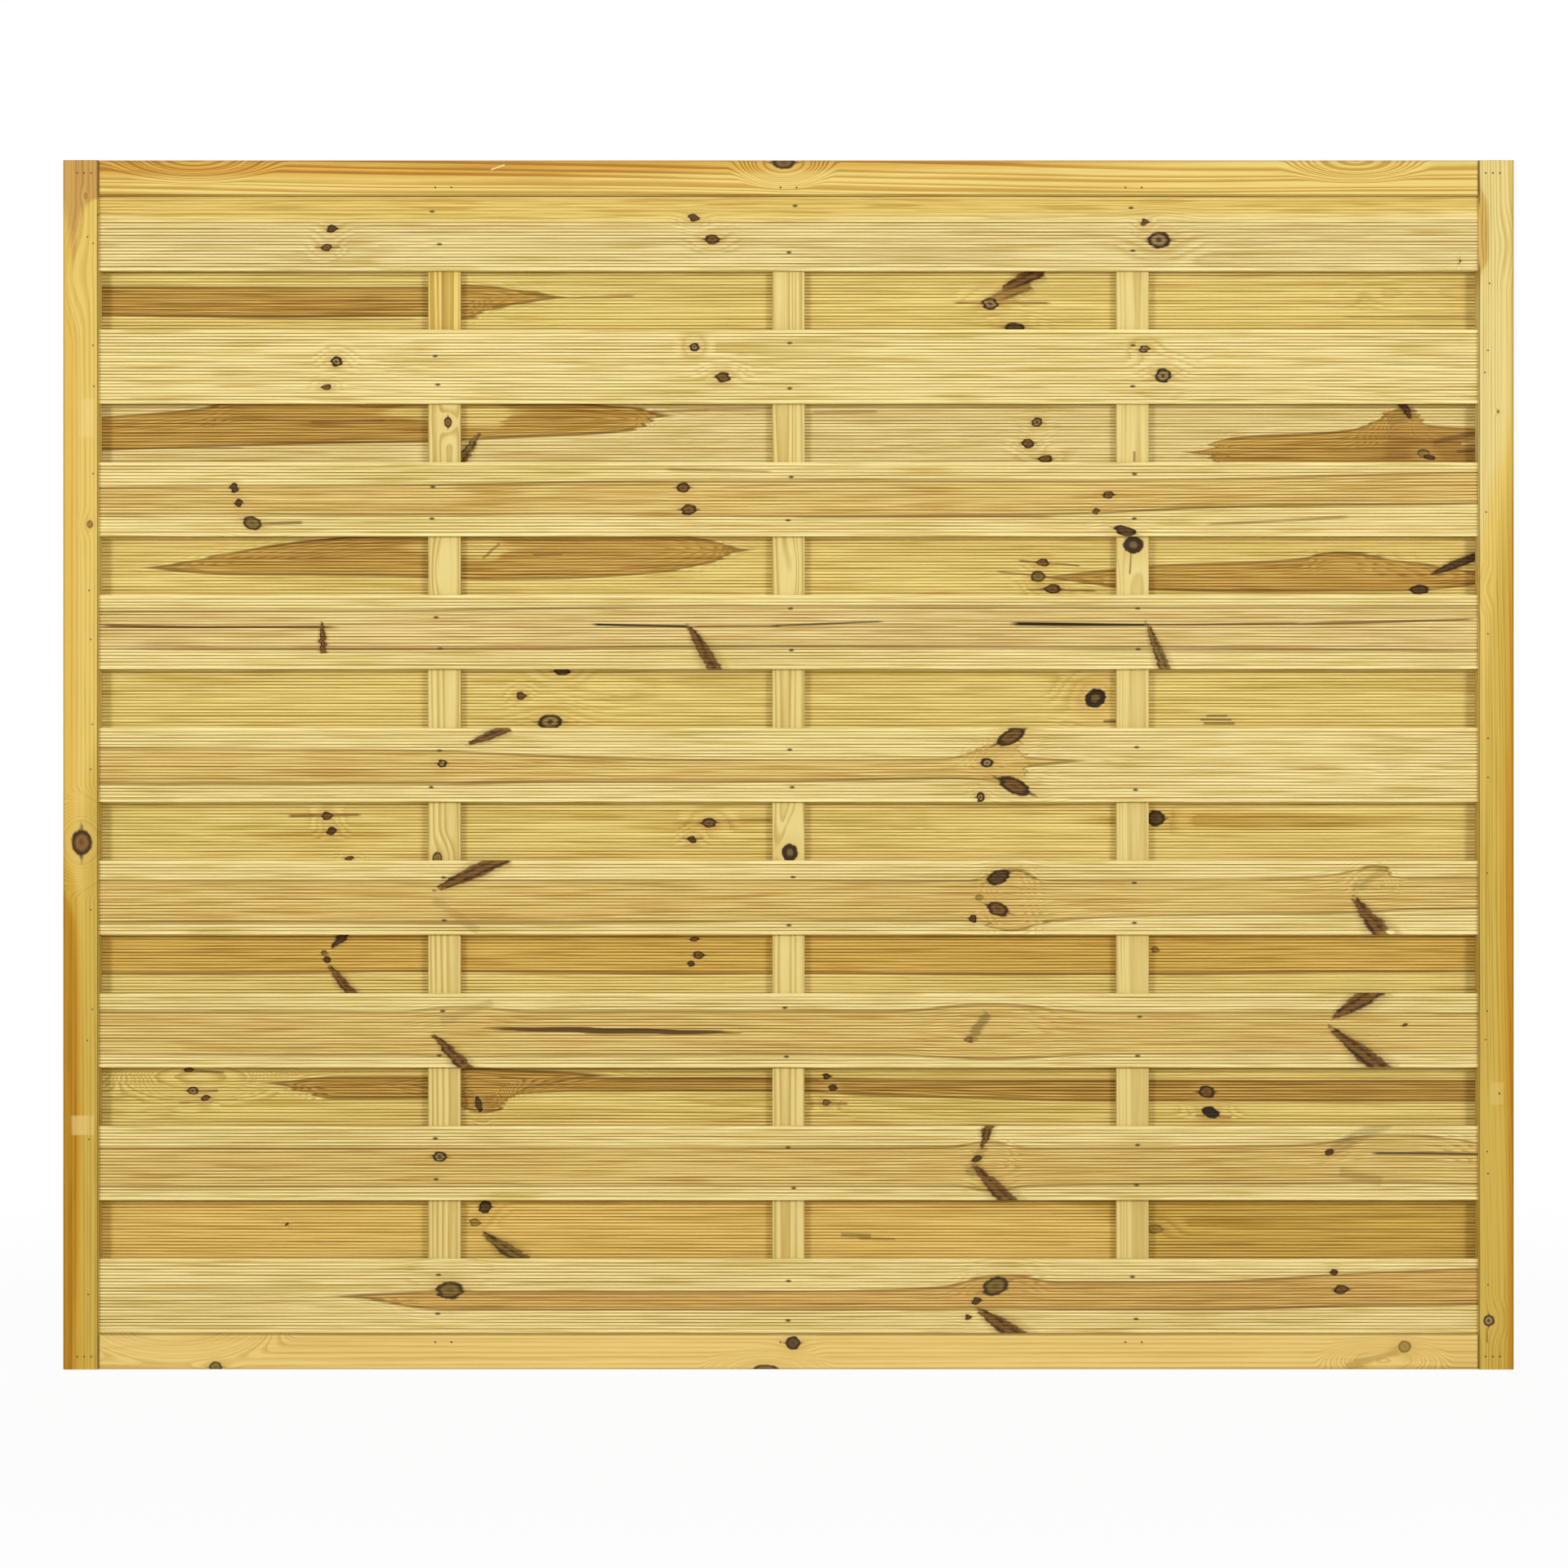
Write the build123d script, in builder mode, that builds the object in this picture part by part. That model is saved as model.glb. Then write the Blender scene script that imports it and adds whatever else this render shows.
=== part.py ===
"""Timber privacy fence panel.

Two stiles and two rails are tenoned into a frame. Three battens stand in the frame, and reeded
slats lie on both sides of them, with each back slat behind a gap between two front slats. The slat
ends slide into two grooves in each stile. X runs along the panel, Y from front to back, and Z up,
with the origin at the middle of the panel's foot.
"""
import os

from build123d import *

# Panel, in millimetres
PANEL_WIDTH = 1800.0
PANEL_HEIGHT = 1500.0

# Frame timber
STILE_WIDTH = 44.0
RAIL_HEIGHT = 44.0
LIP_THICKNESS = 5.5
OUTER_ROUND = 4.0
INNER_CHAMFER = 1.5

# Slats
FRONT_SLATS = 9
SLAT_WIDTH = 92.0
SLAT_THICKNESS = 9.0
SLAT_EDGE_CHAMFER = 1.2
SLAT_END_HOUSING = 13.0
REED_PITCH = 3.9
REED_GROOVE_WIDTH = 1.6
REED_GROOVE_DEPTH = 0.9
REED_EDGE_LAND = 4.8

# Battens
BATTEN_NAMES = ("left_batten", "middle_batten", "right_batten")
BATTEN_WIDTH = 40.0
BATTEN_THICKNESS = 14.0
BATTEN_CHAMFER = 0.8
BATTEN_END_HOUSING = 20.0

# Corner joints, with the timber left between a mortise and the stile's outer face
MORTISE_WALL = 8.0

# Nails, cut square and driven flush from the front
NAIL_SIZE = 2.2
CORNER_NAILS = 3
CORNER_NAIL_LENGTH = 30.0
CORNER_NAIL_SETBACK = 16.0
BATTEN_NAILS = 2
BATTEN_NAIL_LENGTH = 26.0

# Wane on the right stile, where the sawn timber lacks its inner front arris
WANE_BELOW_TOP = 92.0
WANE_LENGTH = 98.0
WANE_ON_FACE = 9.0
WANE_ON_EDGE = 4.0

# Clearances
GROOVE_CLEARANCE = 0.25
TENON_CLEARANCE = 0.2
HOUSING_CLEARANCE = 0.2
END_CLEARANCE = 1.0
SHOULDER_GAP = 0.5
RAIL_GAP = 0.6

# Sizes that follow from the ones above
inner_width = PANEL_WIDTH - 2 * STILE_WIDTH
inner_height = PANEL_HEIGHT - 2 * RAIL_HEIGHT
groove_width = SLAT_THICKNESS + 2 * GROOVE_CLEARANCE
groove_depth = SLAT_END_HOUSING + END_CLEARANCE
haunch_thickness = BATTEN_THICKNESS + 2 * groove_width
frame_depth = haunch_thickness + 2 * LIP_THICKNESS
front = -frame_depth / 2
slat_plane = (BATTEN_THICKNESS + groove_width) / 2
slat_length = inner_width + 2 * SLAT_END_HOUSING
slat_spacing = (inner_height - 2 * RAIL_GAP - SLAT_WIDTH) / (FRONT_SLATS - 1)
top_slat_height = PANEL_HEIGHT - RAIL_HEIGHT - RAIL_GAP - SLAT_WIDTH / 2
batten_spacing = inner_width / (len(BATTEN_NAMES) + 1)
batten_places = [(i - (len(BATTEN_NAMES) - 1) / 2) * batten_spacing for i in range(len(BATTEN_NAMES))]
shoulder = inner_width / 2 - SHOULDER_GAP
mortise_depth = STILE_WIDTH - MORTISE_WALL
tenon_length = mortise_depth - END_CLEARANCE
corner_nail_places = [
    (side * (inner_width / 2 + tenon_length * (i + 1) / (CORNER_NAILS + 1)), height)
    for side in (-1, 1)
    for height in (CORNER_NAIL_SETBACK, PANEL_HEIGHT - CORNER_NAIL_SETBACK)
    for i in range(CORNER_NAILS)
]
batten_nail_places = [
    (x + BATTEN_WIDTH * ((i + 0.5) / BATTEN_NAILS - 0.5), height)
    for x in batten_places
    for height in (RAIL_HEIGHT - BATTEN_END_HOUSING / 2, PANEL_HEIGHT - RAIL_HEIGHT + BATTEN_END_HOUSING / 2)
    for i in range(BATTEN_NAILS)
]

os.makedirs("parts", exist_ok=True)
nail_plane = Plane(origin=(0, front, 0), x_dir=(1, 0, 0), z_dir=(0, -1, 0))


def save(piece, name):
    """Label a finished piece and write it to its own file."""
    piece.part.label = name
    export_step(piece.part, f"parts/{name}.step")


def add_nails(places, length, mode=Mode.ADD):
    """Square nails, or the holes for them, from the frame's front face inwards."""
    with BuildSketch(nail_plane) as heads:
        with Locations(*places):
            Rectangle(NAIL_SIZE, NAIL_SIZE)
    extrude(heads.sketch, amount=-length, mode=mode)


def cut_wane():
    """Scoop the inner front arris off the right stile, deepest in the middle of the wane."""
    chord = (WANE_ON_FACE**2 + WANE_ON_EDGE**2) ** 0.5
    depth = WANE_ON_FACE * WANE_ON_EDGE / chord
    radius = (WANE_LENGTH / 2) ** 2 / (2 * depth) + depth / 2
    inwards = (WANE_ON_EDGE / chord, WANE_ON_FACE / chord, 0)
    along = (-WANE_ON_FACE / chord, WANE_ON_EDGE / chord, 0)
    arris = (inner_width / 2, front, PANEL_HEIGHT - WANE_BELOW_TOP)
    with BuildSketch(Plane(origin=arris, x_dir=inwards, z_dir=along)) as scoop:
        with Locations((depth - radius, 0)):
            Circle(radius)
    extrude(scoop.sketch, amount=2 * chord, both=True, mode=Mode.SUBTRACT)


def make_stile(side):
    """A stile with two slat grooves and an open mortise at each end; side is -1 for left, 1 for right."""
    outwards = Axis((0, 0, 0), (side, 0, 0))
    inner_face = (Align.MAX if side < 0 else Align.MIN, Align.CENTER)
    with BuildPart() as stile:
        with BuildSketch(Plane.XY) as section:
            with Locations((side * inner_width / 2, 0)):
                Rectangle(STILE_WIDTH, frame_depth, align=inner_face)
            fillet(section.vertices().group_by(outwards)[-1], OUTER_ROUND)
            chamfer(section.vertices().group_by(outwards)[0], INNER_CHAMFER)
            with Locations((side * inner_width / 2, -slat_plane), (side * inner_width / 2, slat_plane)):
                Rectangle(groove_depth, groove_width, align=inner_face, mode=Mode.SUBTRACT)
        extrude(amount=PANEL_HEIGHT)
        for height in (0, PANEL_HEIGHT - RAIL_HEIGHT):
            with BuildSketch(Plane.XY.offset(height)):
                with Locations((side * inner_width / 2, 0)):
                    Rectangle(groove_depth, haunch_thickness, align=inner_face)
                    Rectangle(mortise_depth, BATTEN_THICKNESS + 2 * TENON_CLEARANCE, align=inner_face)
            extrude(amount=RAIL_HEIGHT, mode=Mode.SUBTRACT)
        nails = [(x, height) for x, height in corner_nail_places if x * side > 0]
        add_nails(nails, CORNER_NAIL_LENGTH, Mode.SUBTRACT)
        if side > 0:
            cut_wane()
    return stile


def make_rail(foot, side):
    """A rail from the height of its foot, with haunched tenons; side is 1 if its outer edge is the top."""
    outwards = Axis((0, 0, 0), (0, side, 0))  # in the section's own plane
    inner_face = foot if side > 0 else foot + RAIL_HEIGHT
    tenon_foot = foot + TENON_CLEARANCE if side > 0 else foot
    with BuildPart() as rail:
        with BuildSketch(Plane.YZ.offset(-shoulder)) as section:
            with Locations((0, foot + RAIL_HEIGHT / 2)):
                Rectangle(frame_depth, RAIL_HEIGHT)
            fillet(section.vertices().group_by(outwards)[-1], OUTER_ROUND)
            chamfer(section.vertices().group_by(outwards)[0], INNER_CHAMFER)
        extrude(amount=2 * shoulder)
        with BuildSketch(Plane.XY.offset(tenon_foot)):
            Rectangle(inner_width + 2 * SLAT_END_HOUSING, haunch_thickness - 2 * TENON_CLEARANCE)
            Rectangle(inner_width + 2 * tenon_length, BATTEN_THICKNESS)
        extrude(amount=RAIL_HEIGHT - TENON_CLEARANCE)
        with BuildSketch(Plane.XY.offset(inner_face)):
            with Locations(*[(x, 0) for x in batten_places]):
                Rectangle(BATTEN_WIDTH + 2 * HOUSING_CLEARANCE, BATTEN_THICKNESS + 2 * HOUSING_CLEARANCE)
        extrude(amount=side * (BATTEN_END_HOUSING + END_CLEARANCE), mode=Mode.SUBTRACT)
        for places, length in (
            (corner_nail_places, CORNER_NAIL_LENGTH),
            (batten_nail_places, BATTEN_NAIL_LENGTH),
        ):
            nails = [(x, height) for x, height in places if foot < height < foot + RAIL_HEIGHT]
            add_nails(nails, length, Mode.SUBTRACT)
    return rail


def make_batten(x):
    """An upright batten with both ends housed in the rails."""
    foot = RAIL_HEIGHT - BATTEN_END_HOUSING
    with BuildPart() as batten:
        with BuildSketch(Plane.XY.offset(foot)) as section:
            with Locations((x, 0)):
                Rectangle(BATTEN_WIDTH, BATTEN_THICKNESS)
            chamfer(section.vertices(), BATTEN_CHAMFER)
        extrude(amount=inner_height + 2 * BATTEN_END_HOUSING)
        nails = [place for place in batten_nail_places if abs(place[0] - x) < BATTEN_WIDTH / 2]
        add_nails(nails, BATTEN_NAIL_LENGTH, Mode.SUBTRACT)
    return batten


def reeded_edge(side):
    """Points down one face of a slat's section, from its top edge; side is -1 for the front face."""
    face = side * SLAT_THICKNESS / 2
    edge = SLAT_WIDTH / 2
    grooves = int((SLAT_WIDTH - 2 * REED_EDGE_LAND) / REED_PITCH) + 1
    points = [(face - side * SLAT_EDGE_CHAMFER, edge), (face, edge - SLAT_EDGE_CHAMFER)]
    for i in range(grooves):
        centre = ((grooves - 1) / 2 - i) * REED_PITCH
        points.append((face, centre + REED_GROOVE_WIDTH / 2))
        points.append((face - side * REED_GROOVE_DEPTH, centre))
        points.append((face, centre - REED_GROOVE_WIDTH / 2))
    points.append((face, SLAT_EDGE_CHAMFER - edge))
    points.append((face - side * SLAT_EDGE_CHAMFER, -edge))
    return points


def make_slat(y, height):
    """A slat with reeds along both faces, centred at the given depth and height."""
    with BuildPart() as slat:
        with BuildSketch(Plane(origin=(-slat_length / 2, y, height), x_dir=(0, 1, 0), z_dir=(1, 0, 0))):
            with BuildLine():
                Polyline(*reeded_edge(-1), *reversed(reeded_edge(1)), close=True)
            make_face()
        extrude(amount=slat_length)
    return slat


# Frame
save(make_stile(-1), "left_stile")
save(make_stile(1), "right_stile")
save(make_rail(PANEL_HEIGHT - RAIL_HEIGHT, 1), "top_rail")
save(make_rail(0, -1), "bottom_rail")

# Battens
for name, place in zip(BATTEN_NAMES, batten_places):
    save(make_batten(place), name)

# Slats, numbered from the top
for i in range(FRONT_SLATS):
    save(make_slat(-slat_plane, top_slat_height - i * slat_spacing), f"front_slat_{i + 1}")
for i in range(FRONT_SLATS - 1):
    save(make_slat(slat_plane, top_slat_height - (i + 0.5) * slat_spacing), f"back_slat_{i + 1}")

# Nails
with BuildPart() as corner_nails:
    add_nails(corner_nail_places, CORNER_NAIL_LENGTH)
save(corner_nails, "corner_nails")
with BuildPart() as batten_nails:
    add_nails(batten_nail_places, BATTEN_NAIL_LENGTH)
save(batten_nails, "batten_nails")
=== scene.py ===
"""Looks of the timber privacy fence panel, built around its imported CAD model.

Every slat is replaced by a finer reeded mesh, and each piece of timber gets its own pine material:
growth rings in three dimensions, heartwood, knots, branch spikes and checks, at the places that the
photograph shows. Places in the photograph are pixels of its 1920 x 1920 frame, as (column, row).
"""
import math
import random

import bpy
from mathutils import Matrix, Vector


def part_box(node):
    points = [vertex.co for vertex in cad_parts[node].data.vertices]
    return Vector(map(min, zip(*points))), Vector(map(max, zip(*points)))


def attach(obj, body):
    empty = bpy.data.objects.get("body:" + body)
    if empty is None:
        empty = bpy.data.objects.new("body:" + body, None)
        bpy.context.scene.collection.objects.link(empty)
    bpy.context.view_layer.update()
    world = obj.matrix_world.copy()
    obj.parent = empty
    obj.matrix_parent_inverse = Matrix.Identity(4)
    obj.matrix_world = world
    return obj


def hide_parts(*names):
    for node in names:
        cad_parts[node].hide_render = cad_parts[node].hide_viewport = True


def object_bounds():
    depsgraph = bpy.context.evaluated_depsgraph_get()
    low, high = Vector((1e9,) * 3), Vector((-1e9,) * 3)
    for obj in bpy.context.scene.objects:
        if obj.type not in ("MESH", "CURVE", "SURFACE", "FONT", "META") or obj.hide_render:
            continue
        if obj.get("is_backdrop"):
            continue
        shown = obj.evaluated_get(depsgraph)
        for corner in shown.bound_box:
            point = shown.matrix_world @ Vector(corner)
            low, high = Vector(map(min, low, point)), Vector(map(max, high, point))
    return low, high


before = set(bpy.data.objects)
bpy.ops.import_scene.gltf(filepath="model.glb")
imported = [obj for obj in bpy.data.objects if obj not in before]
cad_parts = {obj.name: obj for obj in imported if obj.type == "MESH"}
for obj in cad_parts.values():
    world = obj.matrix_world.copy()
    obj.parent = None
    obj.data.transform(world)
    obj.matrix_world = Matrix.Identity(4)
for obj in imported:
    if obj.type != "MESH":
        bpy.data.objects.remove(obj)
cad_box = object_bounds()

# Photograph: the pixel at the panel's middle, and the metres that a pixel spans at the panel's front
PHOTO_SIZE = 1920
PANEL_MIDDLE = (965.5, 936.5)
PIXEL = 0.0010128
CAMERA_DISTANCE = 5.5
SENSOR_WIDTH = 36.0

# Reeds of the slats, in metres, as in the part's source but with rounded shoulders
REED_PITCH = 0.0039
REED_GROOVES = 22
REED_GROOVE_DEPTH = 0.0009
REED_GROOVE_REACH = 0.00125
REED_GROOVE_STEPS = 8
SLAT_EDGE_ROUND = 0.0012
SLAT_EDGE_STEPS = 4
SLAT_STATIONS = 26
SLAT_SMOOTH_ANGLE = 50
SHALLOW_REED = 0.4

# Waves in the depth of each groove: their share of it, and their range in radians per metre
REED_DEPTH_VARIATION = 0.2
REED_WAVES = (5, 14)

# Open checks: depth, waver of the line and its radians, bluntness of the ends and length of a mesh step
CHECK_DEPTH = 0.0032
CHECK_WAVER = 0.0004
CHECK_WAVES = 23
CHECK_BLUNTNESS = 0.4
CHECK_STEP = 0.008

# Small nails through the slats, and brads through the stiles' lips
SLAT_NAIL_RADIUS = 0.0013
NAIL_BRUISE = (0.0040, 0.0019)
BRAD_RADIUS = 0.0011
NAIL_SIDES = 12
NAIL_SMOOTH_ANGLE = 60

# Rings of a nail head, as shares of its radius: how wide, and how far above the timber
NAIL_PROFILE = [(1.0, -0.6), (1.0, 0.05), (0.86, 0.16), (0.45, 0.24)]

# Nails at the back: how far each of a pair is above or below the slat's middle, and their scatter
BACK_NAIL_SEED = 5
BACK_NAIL_STEP = 0.024
BACK_NAIL_SCATTER_X = 0.006
BACK_NAIL_SCATTER_Z = 0.004

# Lamps: place, size and power
LAMPS = {
    "lamp_left": ((-3.2, -5.4, 1.9), 1.0, 144.0),
    "lamp_right": ((3.2, -5.4, 1.9), 1.0, 144.0),
    "lamp_above": ((0.0, -3.2, 4.6), 2.5, 40.0),
    "lamp_behind": ((0.0, 5.0, 2.2), 3.0, 150.0),
}
AMBIENT_STRENGTH = 0.22
WHITE = (1, 1, 1, 1)
FLOOR_GREY = (0.9, 0.9, 0.9, 1)
FLOOR_HALF = 30.0
FLOOR_DROP = 0.0005

# Share of the floor's colour that is white to the camera near the panel, and where it becomes all of it
FLOOR_WHITE = 0.94
FLOOR_WHITE_REACH = (1.0, 3.0)

low, high = cad_box
front = low[1]
middle_height = (low[2] + high[2]) / 2
camera_x = (PHOTO_SIZE / 2 - PANEL_MIDDLE[0]) * PIXEL
camera_z = middle_height - (PHOTO_SIZE / 2 - PANEL_MIDDLE[1]) * PIXEL

# Timber tones, as a pale earlywood and a dark latewood colour in sRGB
TONES = {
    "cream": ((245, 229, 163), (203, 177, 92)),
    "tan": ((224, 197, 111), (184, 151, 62)),
    "heart": ((231, 206, 130), (191, 156, 75)),
    "pink": ((236, 215, 148), (200, 169, 96)),
    "straw": ((237, 217, 137), (201, 173, 86)),
    "lime": ((231, 221, 142), (196, 178, 86)),
    "umber": ((205, 169, 87), (153, 114, 40)),
    "toast": ((222, 188, 97), (183, 146, 60)),
    "russet": ((222, 187, 108), (182, 143, 72)),
    "wheat": ((236, 220, 157), (198, 172, 94)),
    "biscuit": ((233, 204, 117), (199, 163, 78)),
    "amber": ((208, 164, 72), (166, 114, 32)),
    "ochre": ((198, 158, 54), (168, 124, 26)),
    "sage": ((214, 182, 90), (176, 142, 57)),
    "gold": ((214, 176, 80), (192, 146, 48)),
    "burnt": ((180, 130, 18), (146, 94, 4)),
    "scorch": ((194, 150, 78), (162, 118, 50)),
    "moss": ((200, 170, 74), (170, 134, 42)),
    "honey": ((225, 199, 113), (188, 148, 60)),
    "butter": ((226, 199, 119), (196, 156, 73)),
    "stile": ((219, 190, 99), (190, 153, 62)),
    "lath": ((221, 201, 129), (190, 160, 82)),
}

# Knot and mark tones: the colours inside and at the rim in sRGB, the strength of the dark tails along
# the grain, the share of the half size at which the rim begins, and the strength of the dark core
MARKS = {
    "dark": ((92, 66, 32), (48, 34, 17), 0.6, 0.5, 0.3),
    "brown": ((126, 89, 40), (60, 42, 18), 0.8, 0.45, 0.5),
    "drab": ((132, 108, 50), (66, 51, 24), 0.4, 0.5, 0.4),
    "ring": ((190, 160, 92), (54, 38, 18), 0.6, 0.3, 1.0),
    "eye": ((112, 90, 50), (52, 34, 16), 0.0, 0.2, 0.0),
    "grey": ((156, 130, 76), (52, 39, 20), 0.5, 0.45, 0.9),
    "smudge": ((158, 124, 62), (126, 95, 44), 0.4, 0.4, 0.3),
    "rust": ((146, 98, 44), (96, 62, 26), 0.4, 0.4, 0.0),
    "olive": ((166, 136, 60), (134, 106, 42), 0.2, 0.5, 0.5),
    "chip": ((240, 226, 170), (228, 208, 140), 0.0, 0.5, 0.0),
    "putty": ((230, 204, 130), (220, 192, 114), 0.0, 0.5, 0.0),
    "black": ((46, 34, 16), (38, 28, 14), 0.0, 0.5, 0.0),
}

# Looks of each board. Pith is the ring centre, in millimetres across from and behind the board's middle.
# Ring is the rings' width in millimetres, and contrast the strength of their latewood.
# Reeds above the row shallow_above are shallow.
# A zone is a tone, a softness in millimetres and stations (column, upper row, lower row).
# Stations of an upright board are (row, left column, right column).
# A knot is a mark, its middle, its half sizes in pixels and, if it leans, its tilt in degrees.
# A swirl is a knot of rings alone.
# A spike is a mark, its thin end, its thick end and its width there in pixels.
# A streak is a mark, its two ends, its width in pixels and its strength.
# A bend is a middle, half sizes and the pixels that it moves grain lines by.
# A ripple is a middle, half sizes and its height in millimetres.
# A check is its two ends and its width in pixels.
LOOKS = {}
LOOKS["front_slat_1"] = dict(
    tone="wheat", pith=(-30, 60), shallow_above=270,
    zones=[("tan", 10, [(110, 236, 268), (700, 236, 272), (1300, 236, 266), (1820, 236, 262)])],
    ripples=[(470, 305, 90, 45, 3), (930, 290, 70, 40, 3), (1480, 300, 100, 45, 3)],
    knots=[
        ("dark", 406, 280, 6.5, 5), ("brown", 400, 303, 6.5, 4.5), ("dark", 849.5, 266.5, 6.5, 5),
        ("brown", 872, 293, 9, 6), ("dark", 1401, 272, 4.5, 4.5), ("grey", 1419, 294, 14, 10.5),
        ("dark", 1787, 320, 0.8, 3),
    ],
    streaks=[("brown", 384, 303, 418, 303, 3, 0.7)],
)
LOOKS["front_slat_2"] = dict(
    tone="cream", pith=(25, 70),
    ripples=[(490, 445, 100, 45, 3), (930, 450, 80, 45, 3), (1470, 440, 80, 45, 3)],
    knots=[
        ("ring", 412, 442.5, 7, 6.5), ("brown", 400, 474, 6, 3.5), ("ring", 850, 425, 6, 5.5),
        ("brown", 885, 462, 9, 6.5), ("grey", 1401.5, 427.5, 6.5, 4.5), ("grey", 1424, 460, 10, 9),
    ],
)
LOOKS["front_slat_3"] = dict(
    tone="cream", pith=(2, 16),
    zones=[("heart", 1.5, [
        (110, 597, 630), (560, 592, 630), (720, 589, 630), (960, 588, 633), (1300, 589, 630),
        (1500, 586, 621), (1820, 578, 616),
    ])],
    knots=[
        ("dark", 287, 597.5, 5, 6.5), ("dark", 292, 615.6, 5, 5), ("drab", 309, 640.6, 12, 8, -20),
        ("brown", 836, 597, 8, 6.5), ("brown", 843, 624, 9.5, 7), ("brown", 1358, 606, 7, 4.5),
        ("brown", 1342, 626, 4, 4), ("dark", 1377, 650, 14, 6, -15),
    ],
    streaks=[
        ("brown", 315, 640, 372, 637, 5, 0.7), ("rust", 813, 574, 948, 580, 4, 0.6),
        ("rust", 1472, 641, 1655, 633, 5, 0.6), ("rust", 960, 634, 1300, 632, 4, 0.5),
    ],
)
LOOKS["front_slat_4"] = dict(
    tone="cream", pith=(0, 12),
    zones=[("pink", 1.5, [
        (110, 748, 795), (500, 747, 796), (960, 742, 792), (1400, 743, 793), (1820, 742, 798),
    ])],
    spikes=[
        ("brown", 394, 762, 396, 800, 9), ("brown", 843, 766, 886, 836, 20),
        ("drab", 1404, 762, 1432, 834, 14),
    ],
    streaks=[
        ("rust", 123, 795, 960, 794, 4, 0.5), ("rust", 900, 793, 1812, 797, 4, 0.5),
        ("brown", 112, 763, 420, 770, 4.5, 1.0), ("black", 722, 766, 850, 769, 4, 1.0),
        ("brown", 845, 769, 960, 768, 3, 0.9), ("black", 940, 768, 1086, 762, 3, 0.8),
        ("black", 1233, 763, 1416, 764, 5, 1.0), ("brown", 1400, 764, 1600, 763, 4, 0.9),
        ("brown", 1580, 764, 1812, 757, 4, 0.9),
    ],
)
LOOKS["front_slat_5"] = dict(
    tone="cream", pith=(4, 15),
    zones=[("heart", 1.2, [
        (110, 916, 960), (520, 919, 960), (700, 927, 959), (960, 930, 957), (1150, 929, 953),
        (1190, 921, 954), (1220, 909, 958), (1244, 906, 962), (1254, 926, 940), (1297, 930, 935),
    ])],
    ripples=[(1280, 900, 50, 30, 3), (1300, 970, 50, 30, 3), (1705, 935, 80, 50, 4)],
    knots=[
        ("ring", 541, 935, 6, 5), ("brown", 1237, 902, 19, 9, 28), ("brown", 1242, 962.5, 21, 9.5, -25),
        ("ring", 1208.5, 934, 8, 6), ("ring", 1200.5, 976, 5, 6.5),
    ],
    spikes=[("brown", 572, 912, 624, 890, 13)],
    streaks=[("rust", 530, 961, 1150, 954, 4, 0.5)],
)
LOOKS["front_slat_6"] = dict(
    tone="cream", pith=(-3, 14),
    zones=[("heart", 1.5, [
        (110, 1078, 1130), (600, 1078, 1130), (1190, 1078, 1128), (1235, 1064, 1140), (1290, 1077, 1128),
        (1500, 1076, 1120), (1640, 1070, 1118), (1686, 1060, 1116), (1717, 1075, 1114), (1820, 1075, 1112),
    ])],
    knots=[
        ("dark", 1223, 1074, 15, 9, 22), ("olive", 1199, 1099, 5, 4), ("brown", 1222, 1113, 14, 8.5, -20),
        ("dark", 1191.5, 1125, 5, 5), ("chip", 1703, 1141, 6, 3),
    ],
    spikes=[("brown", 532, 1090, 622, 1048, 17), ("brown", 1656, 1098, 1704, 1158, 22)],
    streaks=[("smudge", 528, 1100, 590, 1138, 12, 0.3), ("drab", 1656, 1092, 1698, 1060, 14, 0.35)],
)
LOOKS["front_slat_7"] = dict(
    tone="cream", pith=(0, 13),
    zones=[("heart", 2, [
        (110, 1238, 1292), (480, 1238, 1292), (560, 1232, 1294), (660, 1238, 1292), (1090, 1238, 1292),
        (1215, 1230, 1297), (1330, 1239, 1292), (1820, 1240, 1290),
    ])],
    knots=[("smudge", 1187, 1273, 5, 4), ("brown", 1721, 1255, 3.5, 2, 20)],
    spikes=[
        ("brown", 530, 1266, 582, 1320, 15), ("brown", 1632, 1246, 1698, 1204, 23),
        ("brown", 1628, 1258, 1704, 1318, 20),
    ],
    streaks=[("drab", 1186, 1276, 1212, 1240, 14, 0.7), ("smudge", 536, 1252, 606, 1226, 12, 0.3)],
    checks=[(587, 1259.5, 912, 1265, 7)],
)
LOOKS["front_slat_8"] = dict(
    tone="cream", pith=(-2, 15),
    zones=[("heart", 2, [
        (110, 1405, 1453), (960, 1406, 1453), (1170, 1404, 1453), (1215, 1398, 1458), (1260, 1406, 1453),
        (1600, 1402, 1450), (1700, 1390, 1449), (1820, 1403, 1451),
    ])],
    knots=[("grey", 538.5, 1416.5, 9, 6.5), ("dark", 1196, 1419, 6, 4, 20), ("dark", 1628, 1411, 6, 4, 20)],
    spikes=[("brown", 1203, 1406, 1213, 1370, 12), ("brown", 1190, 1424, 1246, 1482, 20)],
    streaks=[
        ("black", 1676, 1413, 1818, 1413, 4, 0.9), ("drab", 1184, 1440, 1207, 1402, 14, 0.5),
        ("drab", 1626, 1411, 1706, 1373, 18, 0.4), ("smudge", 1638, 1436, 1694, 1449, 14, 0.4),
    ],
)
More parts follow.
